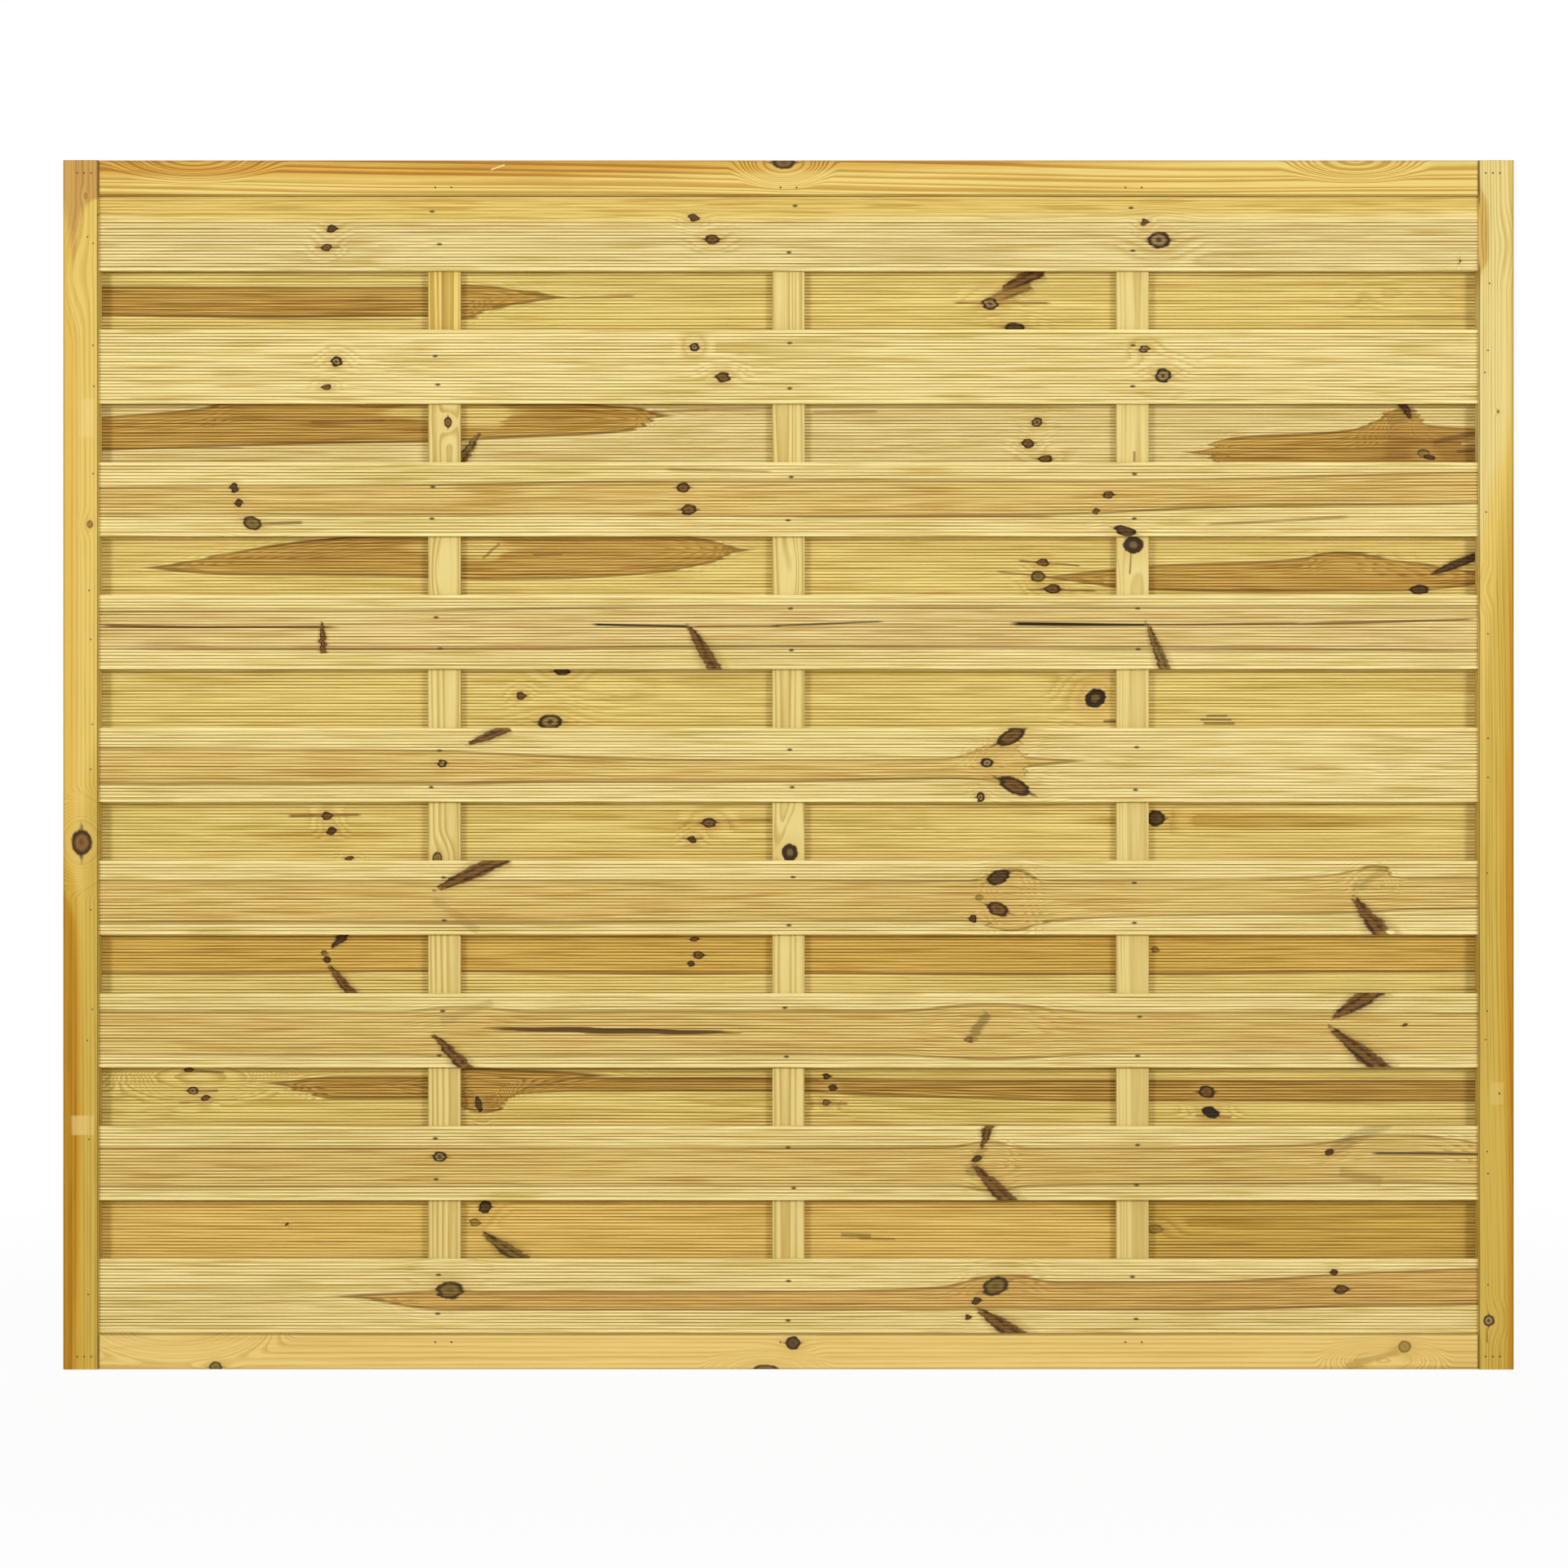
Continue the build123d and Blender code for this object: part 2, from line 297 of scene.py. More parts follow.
LOOKS["front_slat_9"] = dict(
    tone="cream", pith=(6, 18),
    zones=[("russet", 1.5, [
        (440, 1586, 1590), (560, 1582, 1604), (1000, 1581, 1604), (1150, 1576, 1603), (1236, 1561, 1602),
        (1300, 1570, 1604), (1500, 1569, 1604), (1650, 1560, 1600), (1820, 1554, 1597),
    ])],
    knots=[
        ("drab", 551, 1580, 17, 11), ("drab", 1219, 1575, 17, 11, 20), ("dark", 1195.5, 1593, 5.5, 5),
        ("dark", 1185, 1613, 3.5, 3.5), ("dark", 1632.5, 1558, 5, 4), ("brown", 1642, 1579, 9, 5.5),
    ],
    spikes=[("brown", 1196, 1602, 1262, 1648, 21)],
)
LOOKS["back_slat_1"] = dict(
    tone="straw", pith=(15, 60),
    zones=[("umber", 2, [
        (110, 351, 386), (330, 351, 388), (519, 351, 386), (560, 348, 390), (600, 350, 378),
        (640, 355, 370), (680, 361, 364),
    ])],
    ripples=[(640, 390, 90, 30, 4), (1690, 365, 110, 45, 5)],
    knots=[("grey", 1212, 372, 10, 7.5), ("dark", 1242, 401, 12, 6)],
    spikes=[("smudge", 1202, 372, 1262, 347, 15), ("brown", 1228, 354, 1276, 330, 18)],
    streaks=[
        ("rust", 1165, 372, 1290, 372, 4, 0.9), ("rust", 680, 362, 780, 360, 4, 0.5),
        ("smudge", 1640, 389, 1812, 388, 5, 0.5), ("brown", 130, 387, 519, 388, 3, 0.5),
    ],
)
LOOKS["back_slat_2"] = dict(
    tone="wheat", pith=(-30, 30),
    zones=[
        ("umber", 1.2, [
            (110, 512, 552), (245, 501, 548), (300, 492, 546), (560, 492, 540), (599, 492, 538),
            (775, 499, 527), (806, 507, 511),
        ]),
        ("umber", 1.2, [
            (1472, 552, 556), (1502, 537, 572), (1640, 528, 572), (1686, 514, 572), (1723, 500, 572),
            (1747, 520, 572), (1820, 525, 572),
        ]),
        ("straw", 5, [(545, 496, 520), (600, 496, 524), (628, 504, 508)]),
    ],
    ripples=[(870, 530, 90, 40, 4), (1120, 535, 140, 45, 4)],
    knots=[
        ("grey", 1269, 517, 6.5, 6), ("brown", 1259, 543, 7.5, 6), ("brown", 1281, 562, 9, 5),
        ("drab", 1744, 555.5, 8, 5.5), ("dark", 1751, 560, 8, 3, -10),
    ],
    spikes=[("drab", 588, 530, 556, 574, 13), ("dark", 1728, 514, 1714, 486, 11)],
    streaks=[
        ("brown", 376, 517, 476, 517, 4, 0.7), ("brown", 214, 550, 301, 550, 3, 0.6),
        ("rust", 790, 504, 870, 503, 4, 0.6), ("rust", 860, 503, 950, 502, 4, 0.5),
        ("rust", 992, 507, 1077, 505, 5, 0.5), ("drab", 599, 538, 760, 530, 4, 0.5),
        ("rust", 1690, 545, 1830, 548, 46, 0.45), ("drab", 1698, 517, 1734, 500, 22, 0.4),
        ("dark", 1752, 541, 1820, 528, 7, 0.6), ("dark", 1782, 551, 1830, 548, 5, 0.6),
        ("chip", 1788, 543, 1826, 538, 5, 0.4),
    ],
)
LOOKS["back_slat_3"] = dict(
    tone="straw", pith=(-25, 30),
    zones=[
        ("umber", 1.2, [
            (189, 695, 697), (280, 678, 704), (382, 662, 705), (520, 652, 706), (600, 652, 710),
            (775, 652, 704), (871, 662, 689), (906, 671, 675),
        ]),
        ("umber", 1.2, [
            (1318, 702, 712), (1412, 693, 722), (1594, 684, 724), (1634, 676, 724), (1700, 684, 724),
            (1747, 691, 722), (1800, 700, 716),
        ]),
        ("straw", 5, [(560, 662, 682), (600, 662, 686), (622, 668, 674)]),
    ],
    ripples=[(1160, 700, 110, 40, 4)],
    knots=[
        ("brown", 1277, 689, 7.5, 5), ("drab", 1271, 706, 9, 7), ("brown", 1289, 721, 10, 6),
        ("dark", 1737, 722, 12, 6),
    ],
    spikes=[("dark", 1752, 703, 1808, 681, 11)],
    streaks=[
        ("brown", 651, 680, 690, 680, 3, 0.6), ("brown", 590, 684, 612, 664, 4, 0.6),
        ("brown", 1245, 685, 1325, 693, 3, 0.8), ("brown", 1218, 700, 1310, 711, 3, 0.7),
        ("brown", 1255, 722, 1345, 722, 3, 0.7),
    ],
)
LOOKS["back_slat_4"] = dict(
    tone="straw", pith=(20, 70),
    ripples=[(760, 850, 90, 45, 3), (1341, 855, 60, 45, 3)],
    knots=[
        ("dark", 688, 822, 10, 5), ("brown", 638, 852, 5.5, 5), ("grey", 673.5, 884, 15, 9.5),
        ("chip", 1341, 855, 15, 14, 25), ("eye", 1341, 855, 13.5, 11.5, 25),
    ],
    streaks=[
        ("drab", 1476, 877, 1504, 877, 3, 0.8), ("drab", 1468, 881, 1510, 881, 3, 0.8),
        ("drab", 1472, 885, 1514, 885, 3, 0.8), ("brown", 1350, 883, 1376, 883, 4, 0.9),
    ],
)
LOOKS["back_slat_5"] = dict(
    tone="straw", pith=(15, 55),
    zones=[
        ("tan", 4, [(300, 1020, 1024), (350, 1016, 1029), (440, 1015, 1029), (480, 1020, 1024)]),
        ("tan", 4, [(740, 1012, 1014), (850, 1005, 1019), (925, 1004, 1012), (960, 1004, 1007)]),
        ("tan", 4, [(1360, 998, 1012), (1430, 994, 1017), (1560, 995, 1017), (1720, 1006, 1010)]),
    ],
    ripples=[(300, 1020, 120, 40, 3), (1150, 1020, 150, 40, 3)],
    knots=[
        ("brown", 400, 999, 6.5, 5.5), ("dark", 406, 1017.5, 6, 5.5), ("brown", 428, 1051, 5, 3),
        ("brown", 868, 1007.5, 9, 6), ("dark", 847, 1028, 5.5, 4.5), ("dark", 1415, 1002, 11, 10),
    ],
    streaks=[
        ("rust", 350, 999, 445, 998, 4, 0.9), ("rust", 834, 1028, 862, 1028, 3, 0.7),
        ("smudge", 820, 1010, 950, 1006, 5, 0.5),
    ],
)
LOOKS["back_slat_6"] = dict(
    tone="straw", pith=(15, 25),
    zones=[("toast", 1.5, [(110, 1140, 1191), (519, 1140, 1190), (960, 1140, 1192), (1820, 1140, 1190)])],
    knots=[
        ("brown", 397, 1167, 4, 3.5), ("dark", 400, 1175, 4.5, 4.5), ("brown", 854.5, 1169.5, 7, 5),
        ("dark", 845, 1180, 4.5, 4), ("brown", 850, 1150, 6, 3), ("smudge", 1414, 1163, 5, 4),
    ],
    spikes=[("dark", 406, 1161, 430, 1136, 12), ("brown", 402, 1181, 434, 1222, 13)],
    streaks=[("rust", 123, 1190, 960, 1191, 5, 0.6), ("rust", 900, 1191, 1812, 1189, 5, 0.6)],
)
LOOKS["back_slat_7"] = dict(
    tone="straw", pith=(-10, 22), contrast=0.85,
    zones=[
        ("umber", 1.5, [
            (345, 1325, 1329), (420, 1319, 1345), (519, 1319, 1345), (700, 1320, 1337), (945, 1320, 1336),
            (1100, 1322, 1342), (1400, 1323, 1348), (1820, 1323, 1348),
        ]),
        ("umber", 1.5, [
            (545, 1322, 1336), (576, 1308, 1360), (600, 1309, 1362), (616, 1310, 1351), (640, 1311, 1335),
            (700, 1314, 1322),
        ]),
    ],
    ripples=[(210, 1340, 150, 50, 7)],
    knots=[
        ("swirl", 246, 1319, 34, 9), ("brown", 231, 1310, 6, 3), ("grey", 236.6, 1335.5, 7, 5),
        ("brown", 251, 1344.5, 5.5, 4), ("dark", 1012, 1318, 5, 4), ("dark", 1019.5, 1332, 5.5, 4),
        ("drab", 1012, 1350, 5, 4), ("brown", 1478, 1337, 10, 8), ("black", 1482, 1362, 11, 7, -15),
        ("dark", 586, 1352, 4, 10, 15),
    ],
    streaks=[
        ("rust", 984, 1350, 1040, 1350, 4, 0.7), ("brown", 240, 1336, 268, 1335, 4, 0.7),
        ("brown", 218, 1349.5, 262, 1349, 3, 0.7), ("brown", 236, 1310.5, 276, 1313, 4, 0.6),
        ("drab", 556, 1342, 586, 1345, 4, 0.7), ("brown", 1462, 1366, 1510, 1368, 4, 0.7),
    ],
)
LOOKS["back_slat_8"] = dict(
    tone="biscuit", pith=(10, 30),
    zones=[("sage", 8, [(1380, 1440, 1500), (1420, 1430, 1560), (1820, 1430, 1570)])],
    knots=[
        ("dark", 594, 1478, 8, 8), ("olive", 581, 1497, 7, 5), ("dark", 350, 1499, 2, 2),
        ("olive", 1414, 1505, 10, 6),
    ],
    spikes=[("drab", 590, 1509, 644, 1546, 17)],
    streaks=[("drab", 1028, 1513, 1068, 1515, 6, 0.6), ("drab", 1050, 1518, 1098, 1519, 6, 0.6)],
)
LOOKS["top_rail"] = dict(
    tone="honey", pith=(34, 16), ring=5.0, contrast=1.1,
    zones=[("amber", 7, [
        (70, 190, 216), (500, 190, 219), (960, 190, 209), (1300, 190, 202), (1500, 192, 196),
    ])],
    knots=[
        ("swirl", 238, 192, 30, 9), ("swirl", 959.5, 199, 18, 9), ("swirl", 1660, 196, 26, 8),
        ("brown", 959.5, 199, 14, 8),
    ],
    streaks=[("chip", 600, 207, 618, 200, 2, 0.8)],
)
LOOKS["bottom_rail"] = dict(
    tone="butter", pith=(-40, 20), ring=4.2, contrast=0.6,
    zones=[("amber", 6, [(70, 1674, 1690), (600, 1679, 1690), (1200, 1679, 1690), (1860, 1674, 1690)])],
    knots=[
        ("swirl", 215, 1622, 40, 13), ("swirl", 937.5, 1680, 22, 8), ("swirl", 1694, 1666, 22, 8),
        ("drab", 264, 1674, 8, 7), ("dark", 971, 1644.5, 9, 8.5), ("drab", 937.5, 1677, 16, 6),
        ("olive", 1720, 1649, 8, 7.5),
    ],
    streaks=[("olive", 1646, 1677, 1716, 1653, 12, 0.6)],
)
LOOKS["left_stile"] = dict(
    tone="stile", pith=(-44, 14), ring=4.5, contrast=0.6,
    zones=[
        ("gold", 6, [
            (180, 70, 98), (300, 70, 92), (350, 70, 82), (420, 70, 92), (1000, 70, 92), (1700, 70, 96),
        ]),
        ("scorch", 6, [(180, 60, 150), (222, 60, 150), (242, 75, 118), (262, 80, 100)]),
        ("moss", 12, [(1000, 105, 130), (1200, 98, 130), (1700, 98, 130)]),
        ("ochre", 7, [(1040, 70, 78), (1120, 70, 98), (1300, 70, 102), (1500, 70, 101), (1700, 70, 104)]),
        ("burnt", 5, [(1080, 70, 76), (1150, 70, 94), (1400, 70, 96), (1550, 70, 94), (1700, 70, 88)]),
    ],
    bends=[(84, 336, 34, 90, 16)],
    knots=[
        ("swirl", 100, 1031.6, 15, 18), ("brown", 100, 1031.6, 13, 16), ("smudge", 110, 642, 4, 5),
        ("olive", 105, 240, 2.5, 4),
    ],
    streaks=[("putty", 108, 486, 108, 538, 20, 0.4), ("putty", 100, 1365, 100, 1391, 30, 0.5)],
)
LOOKS["right_stile"] = dict(
    tone="stile", pith=(44, 14), ring=3.5, contrast=0.6,
    zones=[
        ("lath", 12, [(190, 1795, 1856), (400, 1795, 1856), (520, 1795, 1846), (600, 1800, 1825)]),
        ("moss", 12, [(400, 1880, 1900), (600, 1845, 1900), (900, 1815, 1900), (1700, 1800, 1900)]),
        ("ochre", 8, [
            (180, 1852, 1866), (600, 1850, 1866), (740, 1845, 1866), (1100, 1838, 1866), (1340, 1836, 1866),
            (1380, 1846, 1866), (1700, 1843, 1866),
        ]),
        ("burnt", 6, [(620, 1854, 1870), (900, 1849, 1870), (1300, 1846, 1870), (1700, 1846, 1870)]),
        ("umber", 3, [(228, 1806, 1813), (256, 1806, 1821), (310, 1806, 1822), (335, 1806, 1813)]),
    ],
    bends=[(1850, 300, 24, 60, -8), (1816, 722, 20, 40, 8)],
    knots=[("smudge", 1834.5, 504, 2, 2), ("grey", 1823, 1617, 7, 7), ("dark", 1836, 1339, 1, 1.5)],
    streaks=[("putty", 1836, 1324, 1836, 1354, 18, 0.25), ("brown", 1823, 1625, 1823, 1645, 2.5, 0.7)],
)
LOOKS["left_batten"] = dict(
    tone="lath", pith=(8, 14), ring=4.0, contrast=0.9,
    zones=[("tan", 12, [(320, 505, 580), (410, 505, 580), (440, 530, 550)])],
    bends=[(535.6, 700, 14, 60, 8)],
    knots=[("brown", 548.5, 517, 5, 6.5), ("drab", 535.6, 1051, 6, 8)],
    streaks=[("smudge", 542, 326, 542, 410, 5, 0.8)],
)
LOOKS["middle_batten"] = dict(
    tone="lath", pith=(-6, 14), ring=4.0, contrast=0.9,
    bends=[(971, 701, 14, 60, -8), (967, 1020, 16, 50, 8)],
    knots=[("eye", 967, 1044, 10, 11)],
)
LOOKS["right_batten"] = dict(
    tone="lath", pith=(7, 15), ring=4.0, contrast=0.6,
    knots=[("eye", 1388, 667, 13, 11)],
    streaks=[("brown", 1386, 676, 1384, 704, 3, 0.8), ("rust", 1390, 552, 1390, 566, 3, 0.8)],
)

# Nails through the front slats, two at each batten, from the top slat down
SLAT_NAILS = {
    "front_slat_1": [(529, 259), (538, 299), (973.5, 252), (966, 309), (1385, 254.5), (1387, 307)],
    "front_slat_2": [(533, 436), (536, 471), (967, 420), (967, 475.5), (1387.5, 423), (1387, 473)],
    "front_slat_3": [(530, 596), (529, 635), (969, 584), (965, 637), (1389, 580.5), (1389, 635)],
    "front_slat_4": [(534, 756), (539, 794), (968, 745), (969, 796), (1393, 745), (1393.5, 795)],
    "front_slat_5": [(538, 919), (528, 964), (967, 918), (970, 964), (1392, 915), (1390.5, 967)],
    "front_slat_6": [(543, 1074.5), (544, 1127), (971, 1074), (966, 1133), (1389, 1081), (1389, 1130)],
    "front_slat_7": [(542, 1238), (538, 1292.5), (961, 1234), (963, 1294), (1395.6, 1245), (1393, 1293)],
    "front_slat_8": [(533, 1394), (534, 1444), (965, 1405), (972, 1455), (1393, 1402), (1391.7, 1451)],
    "front_slat_9": [
        (537, 1561), (536, 1608.5), (965.5, 1568.5), (965, 1617), (1386.5, 1563.5), (1391, 1615),
    ],
}
BRADS = {
    "left_stile": [
        (120, 263), (107, 290), (114, 298), (114, 423), (115, 473), (114, 580), (109, 723), (111, 783),
        (113, 887), (111, 942), (111, 1114), (113, 1236), (107, 1274), (109, 1395), (108, 1585),
    ],
    "right_stile": [
        (1824, 347), (1822, 429), (1818, 456), (1820, 627), (1822, 776), (1822, 904), (1822, 952),
        (1821, 1069), (1821, 1238), (1819, 1273), (1821, 1410), (1822, 1437), (1822, 1573),
    ],
}


def colour(srgb):
    """Linear RGBA of a colour written as 0 to 255 sRGB."""
    values = [channel / 255 for channel in srgb]
    linear = [
        value / 12.92 if value <= 0.04045 else ((value + 0.055) / 1.055) ** 2.4 for value in values
    ]
    return (*linear, 1.0)


def from_photo(column, row, depth):
    """Place (x, z) on the upright plane at a depth y that the photograph shows at a pixel."""
    spread = PIXEL * (CAMERA_DISTANCE + depth - front) / CAMERA_DISTANCE
    x = camera_x + (column - PHOTO_SIZE / 2) * spread
    z = camera_z - (row - PHOTO_SIZE / 2) * spread
    return x, z


class Board:
    """A piece of timber and its own axes: along the grain, across its front face and through it."""

    def __init__(self, node):
        self.name = node
        self.low, self.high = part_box(node)
        self.centre = (self.low + self.high) / 2
        size = self.high - self.low
        self.upright = size.z > size.x
        self.length = max(size.x, size.z)
        self.width = min(size.x, size.z)
        self.thickness = size.y
        self.seed = sorted(LOOKS).index(node) + 1

    def place(self, column, row):
        """Pixel to metres along and across the board from its middle."""
        x, z = from_photo(column, row, self.low.y)
        x -= self.centre.x
        z -= self.centre.z
        return (z, x) if self.upright else (x, z)


class Field:
    """A number that varies over a surface. Arithmetic on it adds Math nodes to its graph."""

    def __init__(self, graph, socket):
        self.graph = graph
        self.socket = socket

    def __add__(self, other):
        return self.graph.math("ADD", self, other)

    def __sub__(self, other):
        return self.graph.math("SUBTRACT", self, other)

    def __rsub__(self, other):
        return self.graph.math("SUBTRACT", other, self)

    def __mul__(self, other):
        return self.graph.math("MULTIPLY", self, other)

    def __truediv__(self, other):
        return self.graph.math("DIVIDE", self, other)

    def __abs__(self):
        return self.graph.math("ABSOLUTE", self)

    def ramp(self, start, end):
        """0 before start and 1 after end, smooth between them."""
        inputs = {"Value": self, "From Min": start, "From Max": end}
        node = self.graph.add("MapRange", inputs, interpolation_type="SMOOTHSTEP")
        return Field(self.graph, node.outputs["Result"])


class Graph:
    """The node tree of a material or a world, written as formulas."""

    def __init__(self, owner):
        owner.use_nodes = True
        self.tree = owner.node_tree
        self.tree.nodes.clear()

    def add(self, kind, inputs=None, **settings):
        """A shader node with its settings, and its inputs fed with values or sockets."""
        node = self.tree.nodes.new("ShaderNode" + kind)
        for name, value in settings.items():
            setattr(node, name, value)
        for name, value in (inputs or {}).items():
            self.feed(node.inputs[name], value)
        return node

    def feed(self, socket, value):
        """Link a field or socket to an input, or set a plain value on it."""
        if isinstance(value, Field):
            self.tree.links.new(value.socket, socket)
        elif isinstance(value, bpy.types.NodeSocket):
            self.tree.links.new(value, socket)
        else:
            socket.default_value = value

    def math(self, operation, *values):
        node = self.add("Math", dict(enumerate(values)), operation=operation)
        return Field(self, node.outputs[0])

    def vector(self, *parts):
        return self.add("CombineXYZ", dict(enumerate(parts))).outputs[0]

    def length(self, vector):
        node = self.add("VectorMath", {0: vector}, operation="LENGTH")
        return Field(self, node.outputs["Value"])

    def mix(self, factor, first, second):
        """Colour between two others."""
        node = self.add("Mix", {0: factor, 6: first, 7: second}, data_type="RGBA")
        return node.outputs[2]

    def noise(self, vector, stretch, detail=0.0):
        """Noise about zero, from -0.5 to 0.5, with its own cycles per metre on each axis."""
        inputs = {"Vector": self.scaled(vector, stretch), "Scale": 1.0, "Detail": detail}
        node = self.add("TexNoise", inputs)
        return Field(self, node.outputs[0]) - 0.5

    def local(self, vector, place, angle, size):
        """A vector seen from a place in the board's face, turned and divided by a size on each axis."""
        long, wide = size
        if angle == 0:
            shift = (-place[0] / long, -place[1] / wide, 0.0)
            inputs = {0: vector, 1: (1 / long, 1 / wide, 0.0), 2: shift}
            return self.add("VectorMath", inputs, operation="MULTIPLY_ADD").outputs[0]
        away = self.add("VectorMath", {0: vector, 1: (*place, 0.0)}, operation="SUBTRACT").outputs[0]
        cosine, sine = math.cos(angle), math.sin(angle)
        forward = self.dot(away, (cosine / long, sine / long, 0.0))
        aside = self.dot(away, (-sine / wide, cosine / wide, 0.0))
        return self.vector(forward, aside, 0.0)

    def dot(self, vector, direction):
        node = self.add("VectorMath", {0: vector, 1: direction}, operation="DOT_PRODUCT")
        return Field(self, node.outputs["Value"])

    def scaled(self, vector, scale):
        return self.add("VectorMath", {0: vector, 1: scale}, operation="MULTIPLY").outputs[0]

    def split(self, vector):
        node = self.add("SeparateXYZ", {0: vector})
        return [Field(self, socket) for socket in node.outputs]

    def curve(self, along, board, stations):
        """Metres across a board of a line through stations, which are (along, across) in metres."""
        node = self.add("FloatCurve", {"Value": along / board.length + 0.5})
        line = node.mapping.curves[0]
        reach = board.width
        for index, (length, side) in enumerate(stations):
            spot = (length / board.length + 0.5, side / (2 * reach) + 0.5)
            if index < 2:
                line.points[index].location = spot
            else:
                line.points.new(*spot)
        for point in line.points:
            point.handle_type = "AUTO_CLAMPED"
        node.mapping.use_clip = False
        node.mapping.update()
        return (Field(self, node.outputs[0]) - 0.5) * (2 * reach)


class Timber:
    """Builds one board's pine material."""

    # Each board's step through the noises, along and across the grain in metres
    NOISE_STEP = (2.37, 0.61)

    # Grain: waver and slope of the pith line, ring width in millimetres, and rings round knots and swirls
    WANDER = 0.010
    WAVE = 0.008
    SLOPE_ACROSS = 0.006
    SLOPE_THROUGH = 0.004
    RING_WIDTH = 2.8
    RING_UNEVENNESS = 1.6
    KNOT_PULL = 0.6
    KNOT_PULL_REACH = 5.0
    BULGE = 0.005
    SWIRL_PITCH = 1.3
    SWIRL_REACH = (4.0, 1.5)

    # Edges of zones: ragged ends, pointed tips, rings that follow them and a dark rim on the crisp ones
    RAGGED_ALONG = 0.03
    RAGGED_ACROSS = 0.0015
    ZONE_WANDER = 0.003
    TIP_REACH = 0.12
    TIP_GAP = 0.010
    FRINGE_PITCH = 0.0033
    FRINGE_REACH = 0.016
    RIM_SOFTNESS = 2.5
    RIM_INSET = 0.0006
    RIM_FADE = (0.0026, 0.0002)
    RIM_DARKNESS = 0.82

    # Marks: jagged and rough outlines, waver of streaks, and strengths of halos and bruises
    JAG = 0.006
    KNOT_ROUGHNESS = 0.22
    WAVER = 0.009
    KNOT_HALO = 0.35
    SPIKE_HALO = 0.4
    BRUISE_STRENGTH = 0.85

    # Painted shade: in the reeds' grooves, and in lines by the frame's arrises and the rails' shoulders
    GROOVE_PAINTED_SHADE = (176, 152, 92)
    GROOVE_PAINTED_SHADE_STRENGTH = 0.9
    EDGE_MARGIN = (0.002, 0.003)
    ARRIS_SHADE_INSETS = (0.0022, 0.0008)
    SHOULDER_SHADE_INSETS = (0.0026, 0.0012)
    FACE_MARGIN = (0.002, 0.0005)
    JOINT_PAINTED_SHADE_STRENGTH = 0.7

    def __init__(self, board, reeded):
        self.board = board
        self.reeded = reeded
        self.look = LOOKS[board.name]
        self.material = bpy.data.materials.new(board.name + "_pine")
        self.graph = Graph(self.material)
        graph = self.graph
        x, y, z = graph.split(graph.add("TexCoord").outputs["Object"])
        x, y, z = x - board.centre.x, y - board.centre.y, z - board.centre.z
        self.along, self.across = (z, x) if board.upright else (x, z)
        self.through = y
        self.place = graph.vector(self.along, self.across, self.through)
        step_along, step_across = (step * board.seed for step in self.NOISE_STEP)
        self.shifted = graph.vector(self.along + step_along, self.across + step_across, self.through)
        self.fibre = self.noise(16, 650)
        self.ragged = self.noise(5, 240)
        self.dash = self.noise(9, 230)
        self.blotch = self.noise(3, 24)
        self.wander = self.noise(1.7, 7)
        self.rough = self.noise(180, 330)
        self.knot_rough = self.rough * self.KNOT_ROUGHNESS
        if "ripples" in self.look:
            self.ripple = self.noise(30, 55)
        self.jagged = self.place
        if reeded:
            self.jagged = graph.vector(self.along + self.ragged * self.JAG, self.across, self.through)

    def noise(self, along, across):
        """Noise with its cycles per metre along and across the grain."""
        return self.graph.noise(self.shifted, (along, across, across))

    def half_sizes(self, wide, tall):
        """Half sizes along and across the board of an ellipse in the photograph."""
        return (tall * PIXEL, wide * PIXEL) if self.board.upright else (wide * PIXEL, tall * PIXEL)

    def tilt(self, degrees=0):
        """Angle in the board's own axes of a tilt in the photograph."""
        turn = math.radians(degrees)
        return -turn if self.board.upright else turn

    def knot_frames(self):
        """Each knot with a vector that is 1 long on its outline, and the length of that vector."""
        frames = []
        for mark, column, row, wide, tall, *degrees in self.look.get("knots", []):
            spot = self.board.place(column, row)
            size = self.half_sizes(wide, tall)
            frame_at = self.graph.local(self.jagged, spot, self.tilt(*degrees), size)
            frames.append((mark, spot, frame_at, self.graph.length(frame_at)))
        return frames

    def bend(self, column, row, wide, tall):
        """1 at a place in the photograph, falling to 0 at its half sizes."""
        spot = self.board.place(column, row)
        away = self.graph.local(self.place, spot, 0, self.half_sizes(wide, tall))
        return self.graph.length(away).ramp(1.0, 0.0)

    def ring_lines(self, turns):
        """Latewood share of growth rings counted by turns."""
        saw = self.graph.math("FRACT", turns)
        return saw.ramp(0.25, 0.85) * saw.ramp(1.0, 0.88)

    def rings(self, knots, depths):
        """Latewood share: rings about a pith line, bent by knots and parallel to the crisp zones' edges."""
        graph = self.graph
        pith_across, pith_behind = (value / 1000 for value in self.look["pith"])
        bent = self.across + self.wander * self.WANDER
        depth = self.through - pith_behind + self.along * self.SLOPE_THROUGH + self.wander * self.WAVE
        for mark, spot, frame_at, away in knots:
            if mark != "swirl":
                pull = away.ramp(self.KNOT_PULL_REACH, 0.0)
                bent = bent - (self.across - spot[1]) * pull * self.KNOT_PULL
                depth = depth - pull * self.BULGE
        for column, row, wide, tall, height in self.look.get("ripples", []):
            depth = depth + self.ripple * self.bend(column, row, wide, tall) * (height / 1000)
        for column, row, wide, tall, shift in self.look.get("bends", []):
            bent = bent + self.bend(column, row, wide, tall) * (shift * PIXEL)
        side = bent - pith_across + self.along * self.SLOPE_ACROSS
        radius = graph.length(graph.vector(side, depth, 0.0))
        ring = self.look.get("ring", self.RING_WIDTH) / 1000
        for mark, spot, frame_at, away in knots:
            if mark == "swirl":
                swirled = away * (ring * self.SWIRL_PITCH)
                radius = radius + (swirled - radius) * away.ramp(*self.SWIRL_REACH)
        slow = graph.noise(graph.vector(radius, self.along * 0.02, float(self.board.seed)), (170, 30, 1))
